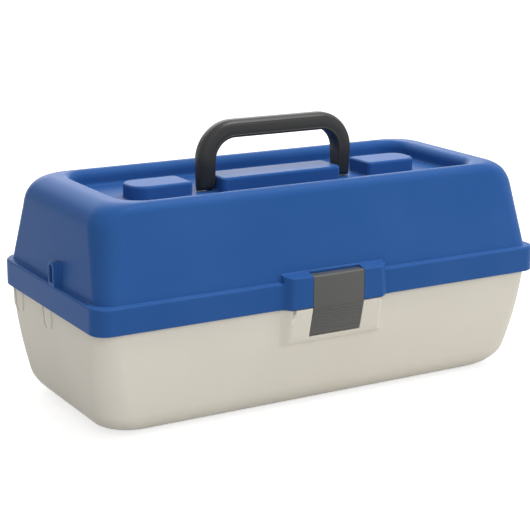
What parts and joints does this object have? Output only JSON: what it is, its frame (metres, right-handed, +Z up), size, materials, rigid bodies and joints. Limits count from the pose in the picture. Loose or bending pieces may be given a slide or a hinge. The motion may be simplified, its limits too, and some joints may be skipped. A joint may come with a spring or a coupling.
{
  "type": "fishing tackle box",
  "caption": "Portable tackle box with a tapered tub, a domed lid with a folding handle in a sunk well, a front latch and cantilever trays on parallel arms.",
  "frame": {"origin": "centre of the tub's underside, on the surface that the box stands on", "axes": "+X along the length, to the right as seen from the latch; -Y towards the latch; +Z up"},
  "size_m": [0.36, 0.1812, 0.196],
  "materials": {
    "cream_plastic": "fine satin moulded",
    "blue_plastic": "fine satin moulded",
    "dark_grey_plastic": "satin moulded",
    "mid_grey_plastic": "satin moulded",
    "arm_plastic": "satin moulded",
    "tray_plastic": "fine satin moulded",
    "divider_plastic": "fine satin moulded",
    "steel": "plated"
  },
  "bodies": {
    "tub": {"base_tub": "cream_plastic", "hinge_pin_left": "steel", "hinge_pin_right": "steel", "base_rivets_left": "steel", "base_rivets_right": "steel"},
    "lid": {"lid_shell": "blue_plastic", "lid_pivot_pin_left": "blue_plastic", "lid_pivot_pin_right": "blue_plastic", "latch_pin": "steel"},
    "handle": {"handle": "dark_grey_plastic"},
    "latch": {"latch": "mid_grey_plastic"},
    "rear_arm_left": {"rear_arm_left": "arm_plastic"},
    "rear_arm_right": {"rear_arm_right": "arm_plastic"},
    "front_arm_left": {"front_arm_left": "arm_plastic"},
    "front_arm_right": {"front_arm_right": "arm_plastic"},
    "lower_tray": {"lower_tray": "tray_plastic", "lower_tray_rivets_left": "steel", "lower_tray_rivets_right": "steel", "lower_tray_dividers": "divider_plastic"},
    "upper_tray": {"upper_tray": "tray_plastic", "upper_tray_rivet_left": "steel", "upper_tray_rivet_right": "steel", "upper_tray_dividers": "divider_plastic"}
  },
  "joints": [
    {"name": "lid_hinge", "type": "hinge", "parent": "tub", "child": "lid", "pos_m": [0, 0.0887, 0.079], "axis": [-1, 0, 0], "range_deg": [0, 95]},
    {"name": "latch_pivot", "type": "hinge", "parent": "lid", "child": "latch", "pos_m": [0, -0.0849, 0.0964], "axis": [-1, 0, 0], "range_deg": [0, 110]},
    {"name": "handle_fold", "type": "hinge", "parent": "lid", "child": "handle", "pos_m": [0, 0, 0.1519], "axis": [1, 0, 0], "range_deg": [-85, 85]},
    {"name": "rear_arm_left_pivot", "type": "hinge", "parent": "tub", "child": "rear_arm_left", "pos_m": [-0.168, 0.0515, 0.0666], "axis": [-1, 0, 0], "range_deg": [0, 95]},
    {"name": "front_arm_left_pivot", "type": "hinge", "parent": "tub", "child": "front_arm_left", "pos_m": [-0.168, 0.0001, 0.0666], "axis": [-1, 0, 0], "range_deg": [0, 95]},
    {"name": "rear_arm_right_pivot", "type": "hinge", "parent": "tub", "child": "rear_arm_right", "pos_m": [0.168, 0.0515, 0.0666], "axis": [-1, 0, 0], "range_deg": [0, 95]},
    {"name": "front_arm_right_pivot", "type": "hinge", "parent": "tub", "child": "front_arm_right", "pos_m": [0.168, 0.0001, 0.0666], "axis": [-1, 0, 0], "range_deg": [0, 95]},
    {"name": "lower_tray_pivot", "type": "hinge", "parent": "rear_arm_left", "child": "lower_tray", "pos_m": [-0.168, 0.00185, 0.0811], "axis": [-1, 0, 0], "range_deg": [-95, 0]},
    {"name": "upper_tray_pivot", "type": "hinge", "parent": "lid", "child": "upper_tray", "pos_m": [-0.1633, -0.0106, 0.108], "axis": [-1, 0, 0], "range_deg": [-95, 0]}
  ],
  "couplings": [
    {"joint": "rear_arm_left_pivot", "follows": "lid_hinge", "ratio": 1},
    {"joint": "front_arm_left_pivot", "follows": "lid_hinge", "ratio": 1},
    {"joint": "rear_arm_right_pivot", "follows": "lid_hinge", "ratio": 1},
    {"joint": "front_arm_right_pivot", "follows": "lid_hinge", "ratio": 1},
    {"joint": "lower_tray_pivot", "follows": "lid_hinge", "ratio": -1},
    {"joint": "upper_tray_pivot", "follows": "lid_hinge", "ratio": -1}
  ]
}
